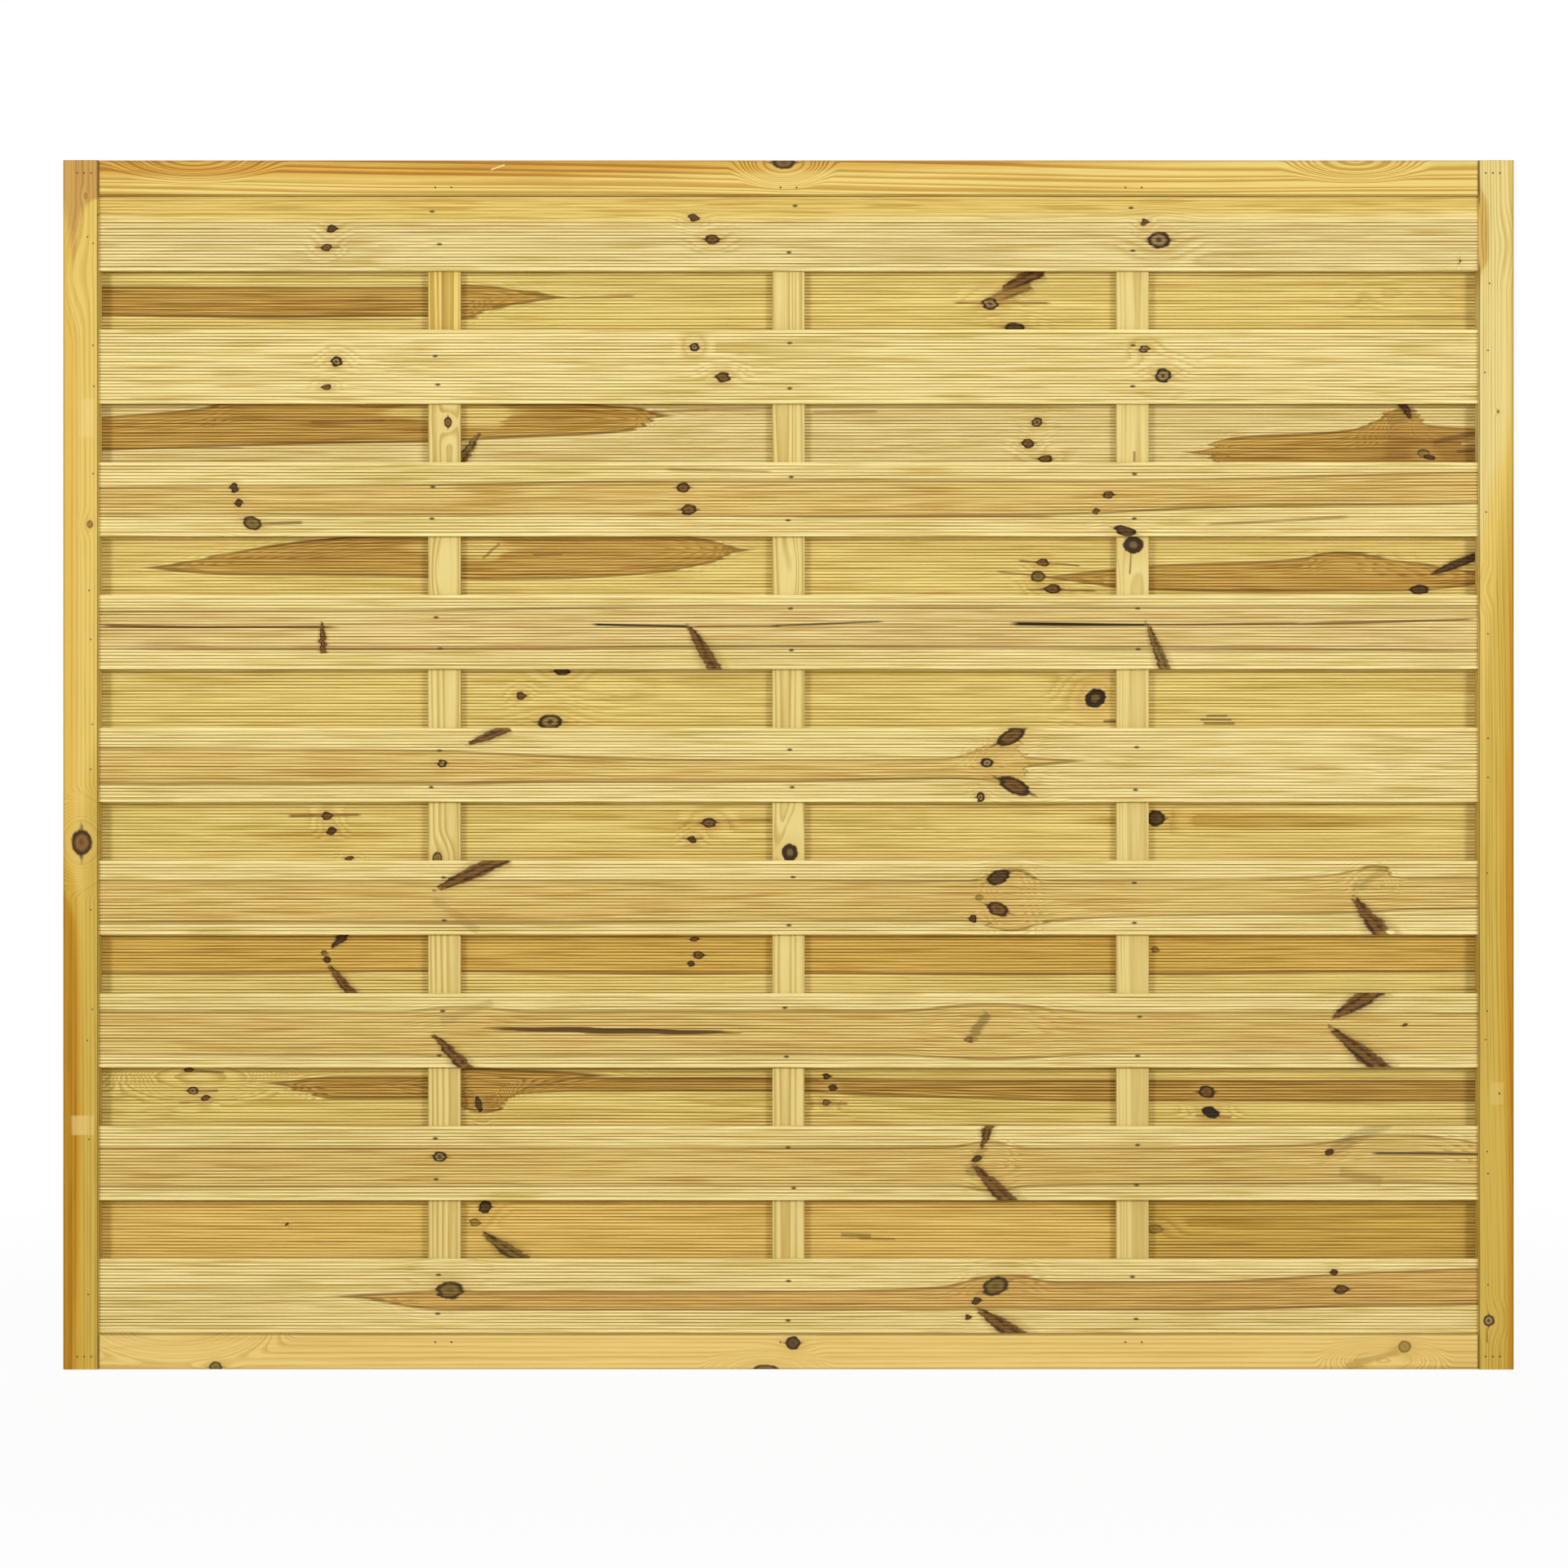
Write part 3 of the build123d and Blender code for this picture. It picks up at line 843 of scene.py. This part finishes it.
        late = self.ring_lines(radius / ring + slow * self.RING_UNEVENNESS)
        for (tone, softness, stations), inside in zip(self.look.get("zones", []), depths):
            if softness <= self.RIM_SOFTNESS:
                fringe = self.ring_lines(inside / self.FRINGE_PITCH + self.blotch * 2.0 + slow)
                late = late + (fringe - late) * inside.ramp(-self.FRINGE_REACH, -0.001)
        return late

    def zone_lines(self, stations):
        """Upper and lower line of a zone in the board's own axes, crossed beyond its ends in the board."""
        board = self.board
        if board.upright:
            upper = [board.place(right, row) for row, left, right in reversed(stations)]
            lower = [board.place(left, row) for row, left, right in reversed(stations)]
        else:
            upper = [board.place(column, top) for column, top, bottom in stations]
            lower = [board.place(column, bottom) for column, top, bottom in stations]
        half = board.length / 2
        for index, beyond in ((0, -self.TIP_REACH), (-1, self.TIP_REACH)):
            along, top = upper[index]
            if abs(along) < half:
                middle = (top + lower[index][1]) / 2
                spot = 0 if index == 0 else len(upper)
                upper.insert(spot, (along + beyond, middle - self.TIP_GAP))
                lower.insert(spot, (along + beyond, middle + self.TIP_GAP))
        return upper, lower

    def depth_inside(self, stations):
        """Metres inside a zone from its nearer edge, and less than 0 outside it."""
        graph = self.graph
        upper, lower = self.zone_lines(stations)
        along, across = self.along, self.across + self.wander * self.ZONE_WANDER
        if self.reeded:
            along = along + self.ragged * self.RAGGED_ALONG
            across = across + self.ragged * self.RAGGED_ACROSS
        below_top = graph.curve(along, self.board, upper) - across
        above_foot = across - graph.curve(along, self.board, lower)
        return graph.math("MINIMUM", below_top, above_foot)

    def zone(self, base, shade, tone, softness, inside):
        """Lay a zone of another tone over a colour, with a darker line along a crisp edge."""
        graph = self.graph
        soft = softness / 1000
        laid = graph.mix(inside.ramp(-soft, soft), base, self.tone(tone, shade * 1.3 - 0.08))
        if softness > self.RIM_SOFTNESS:
            return laid
        line = abs(inside - self.RIM_INSET).ramp(*self.RIM_FADE) * (self.blotch * 1.2 + 0.75)
        return graph.mix(line, laid, colour([channel * self.RIM_DARKNESS for channel in TONES[tone][1]]))

    def tone(self, name, shade):
        """Colour of a tone, from earlywood at a shade of 0 to latewood at 1."""
        pale, dark = TONES[name]
        return self.graph.mix(shade, colour(pale), colour(dark))

    def knot(self, base, mark, frame_at, away):
        """Lay a knot over a colour: a soft halo, dark tails along the grain, a dark rim and a core."""
        graph = self.graph
        inside, rim, tail_strength, rim_start, core = MARKS[mark]
        near = away + self.knot_rough
        shaded = graph.mix(near.ramp(3.0, 0.9) * self.KNOT_HALO, base, colour(TONES["umber"][0]))
        if tail_strength > 0:
            sides = graph.add("VectorMath", {0: frame_at}, operation="ABSOLUTE").outputs[0]
            tail = (graph.dot(sides, (0.5, 1.4, 0.0)) + self.knot_rough).ramp(1.0, 0.55)
            shaded = graph.mix(tail * tail_strength, shaded, colour(rim))
        edge = near.ramp(rim_start, rim_start + 0.35)
        if core > 0:
            edge = edge + near.ramp(0.45, 0.1) * core
        return graph.mix(near.ramp(1.1, 0.88), shaded, graph.mix(edge, colour(inside), colour(rim)))

    def along_line(self, vector, column, row, end_column, end_row, width):
        """Fields along a line in the photograph from 0 to 1, and aside from it in half widths."""
        start = self.board.place(column, row)
        end = self.board.place(end_column, end_row)
        angle = math.atan2(end[1] - start[1], end[0] - start[0])
        size = (math.dist(start, end), width * PIXEL / 2)
        return self.graph.split(self.graph.local(vector, start, angle, size))[:2]

    def spike(self, base, mark, *line):
        """Lay a branch cut lengthwise over a colour, thin at its start and as wide as given at its end."""
        graph = self.graph
        inside, rim = MARKS[mark][:2]
        forward, aside = self.along_line(self.jagged, *line)
        width = forward.ramp(-0.1, 0.6) * 0.75 + 0.25
        spread = abs(aside) / width + self.rough * 0.35 + self.blotch * 0.6
        ends = (forward + self.rough * 0.2).ramp(-0.03, 0.08) * forward.ramp(1.03, 0.97)
        halo = spread.ramp(2.2, 0.9) * ends * self.SPIKE_HALO
        body = spread.ramp(1.12, 0.72) * ends
        slits = graph.math("SINE", aside * 7.0 + self.blotch * 6.0)
        shade = (spread * 0.6 + slits * 0.3 + self.fibre + self.rough * 0.6).ramp(0.0, 0.8)
        shaded = graph.mix(halo, base, colour(TONES["umber"][1]))
        return graph.mix(body, shaded, graph.mix(shade, colour(inside), colour(rim)))

    def streak(self, base, mark, *line_and_strength):
        """Lay a line along the grain over a colour, tapered to both ends."""
        graph = self.graph
        *line, width, strength = line_and_strength
        forward, aside = self.along_line(self.place, *line, width)
        taper = (forward * (1.0 - forward)).ramp(0.0, 0.08)
        waver = (self.wander + self.blotch) * (self.WAVER / (width * PIXEL / 2))
        spread = abs(aside + self.ragged * 1.2 + waver)
        body = taper * spread.ramp(1.2, 0.4) * strength
        return graph.mix(body, base, colour(MARKS[mark][0]))

    def nail_bruise(self, base, column, row):
        """Darken crushed fibres round a nail head."""
        graph = self.graph
        frame_at = graph.local(self.place, self.board.place(column, row), 0, NAIL_BRUISE)
        body = (graph.length(frame_at) + self.knot_rough).ramp(1.2, 0.5)
        return graph.mix(body * self.BRUISE_STRENGTH, base, colour(MARKS["dark"][0]))

    def joint_shade(self, base):
        """Paint shade on the frame's faces along the inner arrises and where its rails meet its stiles."""
        graph = self.graph
        board = self.board
        offset = board.centre.x if board.upright else board.centre.z - middle_height
        inward = self.across * -math.copysign(1.0, offset)
        # Painted shade along the inner arris and at the rails' shoulders, on the front and back faces only
        line = inward.ramp(*(board.width / 2 - inset for inset in self.ARRIS_SHADE_INSETS))
        if not board.upright:
            shoulder = abs(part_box("left_stile")[1].x)
            ends = abs(self.along).ramp(*(shoulder - inset for inset in self.SHOULDER_SHADE_INSETS))
            line = graph.math("MAXIMUM", line, ends)
        on_face = abs(self.through).ramp(*(board.thickness / 2 - inset for inset in self.FACE_MARGIN))
        return graph.mix(line * on_face * self.JOINT_PAINTED_SHADE_STRENGTH, base, colour(MARKS["dark"][0]))

    def reed_shade(self, base):
        """Paint shade into the groove bottoms of a slat, and darker shade into the inside of an open check.
        """
        graph = self.graph
        sunk = self.board.thickness / 2 - abs(self.through)
        on_face = abs(self.across).ramp(*(self.board.width / 2 - inset for inset in self.EDGE_MARGIN))
        # Painted shade: darker towards each groove bottom, and darker still inside an open check
        groove = sunk.ramp(0.0001, REED_GROOVE_DEPTH) * on_face
        check = sunk.ramp(REED_GROOVE_DEPTH * 1.3, REED_GROOVE_DEPTH * 2.2) * on_face
        inputs = {0: groove * self.GROOVE_PAINTED_SHADE_STRENGTH, 6: base, 7: colour(self.GROOVE_PAINTED_SHADE)}
        grooved = graph.add("Mix", inputs, data_type="RGBA", blend_type="MULTIPLY")
        return graph.mix(check, grooved.outputs[2], colour(MARKS["dark"][0]))

    def build(self):
        """The material: rings and zones, then streaks, spikes and knots, then bruises and painted shade."""
        graph = self.graph
        knots = self.knot_frames()
        zones = self.look.get("zones", [])
        depths = [self.depth_inside(stations) for tone, softness, stations in zones]
        late = self.rings(knots, depths)
        if self.reeded:
            lens = self.dash.ramp(0.06, 0.2)
            rings = late * self.look.get("contrast", 0.5)
            shade = rings + lens * 0.38 + self.fibre * 0.8 + self.blotch * 0.4 + 0.13
        else:
            rings = late * self.look.get("contrast", 0.6)
            shade = rings + self.dash * 0.5 + self.fibre * 0.4 + self.blotch * 0.7
        base = self.tone(self.look["tone"], shade)
        if self.reeded:
            tint = (self.wander + self.dash * 0.5).ramp(0.02, 0.3) * 0.3
            base = graph.mix(tint, base, self.tone("lime", shade))
        for (tone, softness, stations), inside in zip(zones, depths):
            base = self.zone(base, shade, tone, softness, inside)
        for streak in self.look.get("streaks", []):
            base = self.streak(base, *streak)
        for spike in self.look.get("spikes", []):
            base = self.spike(base, *spike)
        for mark, spot, frame_at, away in knots:
            if mark in MARKS:
                base = self.knot(base, mark, frame_at, away)
        for column, row in SLAT_NAILS.get(self.board.name, []):
            base = self.nail_bruise(base, column, row)
        # Painted shade in the slats' grooves and checks, and along the frame's inner arrises and shoulders
        if self.reeded:
            base = self.reed_shade(base)
        elif self.board.name.endswith(("_stile", "_rail")):
            base = self.joint_shade(base)
        surface = {"Base Color": base, "Roughness": late * -0.12 + 0.78, "Specular IOR Level": 0.25}
        if not self.reeded:
            bump = graph.add("Bump", {"Strength": 0.35, "Distance": 0.0006, "Height": self.fibre})
            surface["Normal"] = bump.outputs[0]
        shader = graph.add("BsdfPrincipled", surface)
        graph.add("OutputMaterial", {"Surface": shader.outputs[0]})
        return self.material


def nail_material(name, bright, dull):
    """Worn steel with small dull patches."""
    material = bpy.data.materials.new(name)
    graph = Graph(material)
    place = graph.add("TexCoord").outputs["Object"]
    patch = graph.noise(place, (900, 900, 900), 2.0)
    base = graph.mix(patch.ramp(-0.15, 0.2), colour(bright), colour(dull))
    surface = {"Base Color": base, "Metallic": 0.5, "Roughness": patch * 0.3 + 0.45}
    shader = graph.add("BsdfPrincipled", surface)
    graph.add("OutputMaterial", {"Surface": shader.outputs[0]})
    return material


def put(name, data):
    """An object in the scene for a mesh, a lamp or a camera."""
    item = bpy.data.objects.new(name, data)
    bpy.context.scene.collection.objects.link(item)
    return item


def tube_faces(first, rings, sides):
    """Faces of a closed tube whose rings of points follow each other from a first point."""
    last = first + (rings - 1) * sides
    faces = [tuple(range(first, first + sides))[::-1], tuple(range(last, last + sides))]
    for ring in range(first, last, sides):
        for i in range(sides):
            here, beside = ring + i, ring + (i + 1) % sides
            faces.append((here, beside, beside + sides, here + sides))
    return faces


def add_mesh(name, points, faces, material, smooth_angle):
    """A piece of the panel from its points and faces, with edges sharper than an angle kept crisp."""
    mesh = bpy.data.meshes.new(name)
    mesh.from_pydata(points, [], faces)
    mesh.materials.append(material)
    mesh.validate()
    mesh.shade_smooth()
    mesh.set_sharp_from_angle(angle=math.radians(smooth_angle))
    piece = put(name, mesh)
    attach(piece, "root")
    return piece


def reeded_face(board):
    """Points (across, sunk, groove) of a face from its lower to its upper edge; groove is -1 on land."""
    half = board.width / 2
    points = []
    for i in range(SLAT_EDGE_STEPS + 1):
        turn = math.pi / 2 * i / SLAT_EDGE_STEPS
        inward, sunk = (SLAT_EDGE_ROUND * (1 - share) for share in (math.sin(turn), math.cos(turn)))
        points.append((-half + inward, sunk, -1))
    points.reverse()
    for groove in range(REED_GROOVES):
        centre = (groove - (REED_GROOVES - 1) / 2) * REED_PITCH
        for i in range(REED_GROOVE_STEPS + 1):
            offset = REED_GROOVE_REACH * (2 * i / REED_GROOVE_STEPS - 1)
            sunk = REED_GROOVE_DEPTH * math.cos(math.pi / 2 * offset / REED_GROOVE_REACH) ** 2
            points.append((centre + offset, sunk, groove))
    upper = [(-across, sunk, groove) for across, sunk, groove in points[: SLAT_EDGE_STEPS + 1]]
    return points + upper[::-1]


def check_depth(along, across, checks):
    """How deep an open check is at a place on the front face."""
    deepest = 0.0
    for start, end, width in checks:
        share = (along - start[0]) / (end[0] - start[0])
        if 0 < share < 1:
            swell = math.sin(math.pi * share) ** CHECK_BLUNTNESS
            line = start[1] + (end[1] - start[1]) * share + CHECK_WAVER * math.sin(share * CHECK_WAVES)
            aside = abs(across - line) / (width / 2 * swell)
            deepest = max(deepest, CHECK_DEPTH * swell * max(0.0, 1 - aside**2) ** 0.5)
    return deepest


def make_slat(node):
    """A slat with round-shouldered reeds along both faces, and its open checks."""
    board = Board(node)
    look = LOOKS[node]
    rng = random.Random(board.seed)
    waves = [(rng.uniform(*REED_WAVES), rng.uniform(0, math.tau)) for _ in range(2 * REED_GROOVES)]
    checks = [
        (board.place(column, row), board.place(end_column, end_row), width * PIXEL)
        for column, row, end_column, end_row, width in look.get("checks", [])
    ]
    stations = {board.length * (i / (SLAT_STATIONS - 1) - 0.5) for i in range(SLAT_STATIONS)}
    for start, end, _ in checks:
        count = round((end[0] - start[0]) / CHECK_STEP)
        stations.update(start[0] + (end[0] - start[0]) * i / count for i in range(count + 1))
    face = reeded_face(board)
    if "shallow_above" in look:
        edge = board.place(0, look["shallow_above"])[1]
        face_front = [
            (across, sunk * (SHALLOW_REED if groove >= 0 and across > edge else 1.0), groove)
            for across, sunk, groove in face
        ]
    else:
        face_front = face
    section = [(across, sunk, groove, -1) for across, sunk, groove in face_front]
    section += [(across, sunk, groove, 1) for across, sunk, groove in reversed(face)]
    points = []
    for along in sorted(stations):
        for across, sunk, groove, side in section:
            if groove >= 0:
                pace, phase = waves[groove + (REED_GROOVES if side > 0 else 0)]
                sunk *= 1 + REED_DEPTH_VARIATION * math.sin(along * pace + phase)
            if side < 0:
                sunk = max(sunk, check_depth(along, across, checks))
            through = side * (board.thickness / 2 - sunk)
            points.append((board.centre.x + along, board.centre.y + through, board.centre.z + across))
    faces = tube_faces(0, len(stations), len(section))
    material = Timber(board, True).build()
    piece = add_mesh(node + "_reeded", points, faces, material, SLAT_SMOOTH_ANGLE)
    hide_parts(node)
    return piece


def make_heads(name, places, radius, material):
    """Small round nail heads, each at (x, y, z, side) with its side -1 to face forward."""
    points = []
    faces = []
    for x, y, z, side in places:
        first = len(points)
        for share, lift in NAIL_PROFILE:
            reach = radius * share
            for i in range(NAIL_SIDES):
                turn = math.tau * i / NAIL_SIDES * -side
                aside, above = reach * math.cos(turn), reach * math.sin(turn)
                points.append((x + aside, y + side * radius * lift, z + above))
        faces += tube_faces(first, len(NAIL_PROFILE), NAIL_SIDES)
    return add_mesh(name, points, faces, material, NAIL_SMOOTH_ANGLE)


def make_nails():
    """Nails through the slats on both faces, brads in the stiles, and a finish for the CAD nails."""
    steel = nail_material("nail_steel_worn", (100, 86, 62), (46, 36, 23))
    front_places = []
    for node, pixels in SLAT_NAILS.items():
        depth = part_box(node)[0].y
        front_places += [(*from_photo(column, row, depth), depth) for column, row in pixels]
    make_heads("front_slat_nails", [(x, y, z, -1) for x, z, y in front_places], SLAT_NAIL_RADIUS, steel)
    rng = random.Random(BACK_NAIL_SEED)
    back_places = []
    for index in range(1, 9):
        low_corner, high_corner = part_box(f"back_slat_{index}")
        height = (low_corner.z + high_corner.z) / 2
        for batten in ("left_batten", "middle_batten", "right_batten"):
            batten_low, batten_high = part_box(batten)
            x = (batten_low.x + batten_high.x) / 2
            for step in (-BACK_NAIL_STEP, BACK_NAIL_STEP):
                aside = rng.uniform(-BACK_NAIL_SCATTER_X, BACK_NAIL_SCATTER_X)
                above = rng.uniform(-BACK_NAIL_SCATTER_Z, BACK_NAIL_SCATTER_Z)
                back_places.append((x + aside, high_corner.y, height + step + above, 1))
    make_heads("back_slat_nails", back_places, SLAT_NAIL_RADIUS, steel)
    brad_places = []
    for node, pixels in BRADS.items():
        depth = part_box(node)[0].y
        for column, row in pixels:
            x, z = from_photo(column, row, depth)
            brad_places.append((x, depth, z, -1))
    make_heads("stile_brads", brad_places, BRAD_RADIUS, steel)
    for node in ("corner_nails", "batten_nails"):
        dress(node, steel)


def dress(node, material):
    """Give a CAD node that stays in the scene its material."""
    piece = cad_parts[node]
    piece.data.materials.clear()
    piece.data.materials.append(material)


def white_to_camera(graph):
    """1 for rays that show the backdrop itself: camera, mirror and see-through rays."""
    path = graph.add("LightPath")
    seen = graph.math("MAXIMUM", path.outputs["Is Camera Ray"], path.outputs["Is Glossy Ray"])
    return graph.math("MAXIMUM", seen, path.outputs["Is Transmission Ray"])


def make_surroundings():
    """A world that is white to the camera and gives a weak light from all sides."""
    world = bpy.data.worlds.new("studio")
    bpy.context.scene.world = world
    graph = Graph(world)
    ambient = graph.add("Background", {"Color": WHITE, "Strength": AMBIENT_STRENGTH})
    backdrop = graph.add("Background", {"Color": WHITE, "Strength": 1.0})
    mixed = graph.add("MixShader", {0: white_to_camera(graph), 1: ambient.outputs[0], 2: backdrop.outputs[0]})
    graph.add("OutputWorld", {"Surface": mixed.outputs[0]})


def make_floor():
    """A pale floor that keeps the panel's shadow."""
    material = bpy.data.materials.new("studio_floor")
    graph = Graph(material)
    matt = graph.add("BsdfDiffuse", {"Color": FLOOR_GREY})
    glow = graph.add("Emission", {"Color": WHITE, "Strength": 1.0})
    far = graph.length(graph.add("TexCoord").outputs["Object"]).ramp(*FLOOR_WHITE_REACH)
    white = white_to_camera(graph) * (far * (1.0 - FLOOR_WHITE) + FLOOR_WHITE)
    mixed = graph.add("MixShader", {0: white, 1: matt.outputs[0], 2: glow.outputs[0]})
    graph.add("OutputMaterial", {"Surface": mixed.outputs[0]})
    half = FLOOR_HALF
    corners = [(-half, -half, 0), (half, -half, 0), (half, half, 0), (-half, half, 0)]
    mesh = bpy.data.meshes.new("floor")
    mesh.from_pydata(corners, [], [(0, 1, 2, 3)])
    mesh.materials.append(material)
    floor = put("floor", mesh)
    floor.location.z = -FLOOR_DROP
    floor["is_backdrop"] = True


def make_lamps():
    """Soft lamps that all point at the panel's middle."""
    aim = (0.0, 0.0, middle_height)
    for name, (place, size, power) in LAMPS.items():
        lamp = bpy.data.lights.new(name, "AREA")
        lamp.size = size
        lamp.energy = power
        stand = put(name, lamp)
        stand.location = place
        direction = [target - spot for target, spot in zip(aim, place)]
        stand.rotation_euler = Vector(direction).to_track_quat("-Z", "Y").to_euler()


def make_camera():
    """A level camera straight in front of the panel, framed as the photograph is."""
    data = bpy.data.cameras.new("camera")
    data.sensor_width = SENSOR_WIDTH
    data.lens = SENSOR_WIDTH * CAMERA_DISTANCE / (PHOTO_SIZE * PIXEL)
    camera = put("camera", data)
    camera.location = (camera_x, front - CAMERA_DISTANCE, camera_z)
    camera.rotation_euler = (math.pi / 2, 0, 0)
    bpy.context.scene.camera = camera


for board_name in LOOKS:
    if "slat" in board_name:
        make_slat(board_name)
    else:
        dress(board_name, Timber(Board(board_name), False).build())
make_nails()
make_surroundings()
make_floor()
make_lamps()
make_camera()
bpy.context.scene.view_settings.view_transform = "Standard"

boxes = {"cad": cad_box, "visual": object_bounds()}
{name: [list(corner) for corner in box] for name, box in boxes.items()}
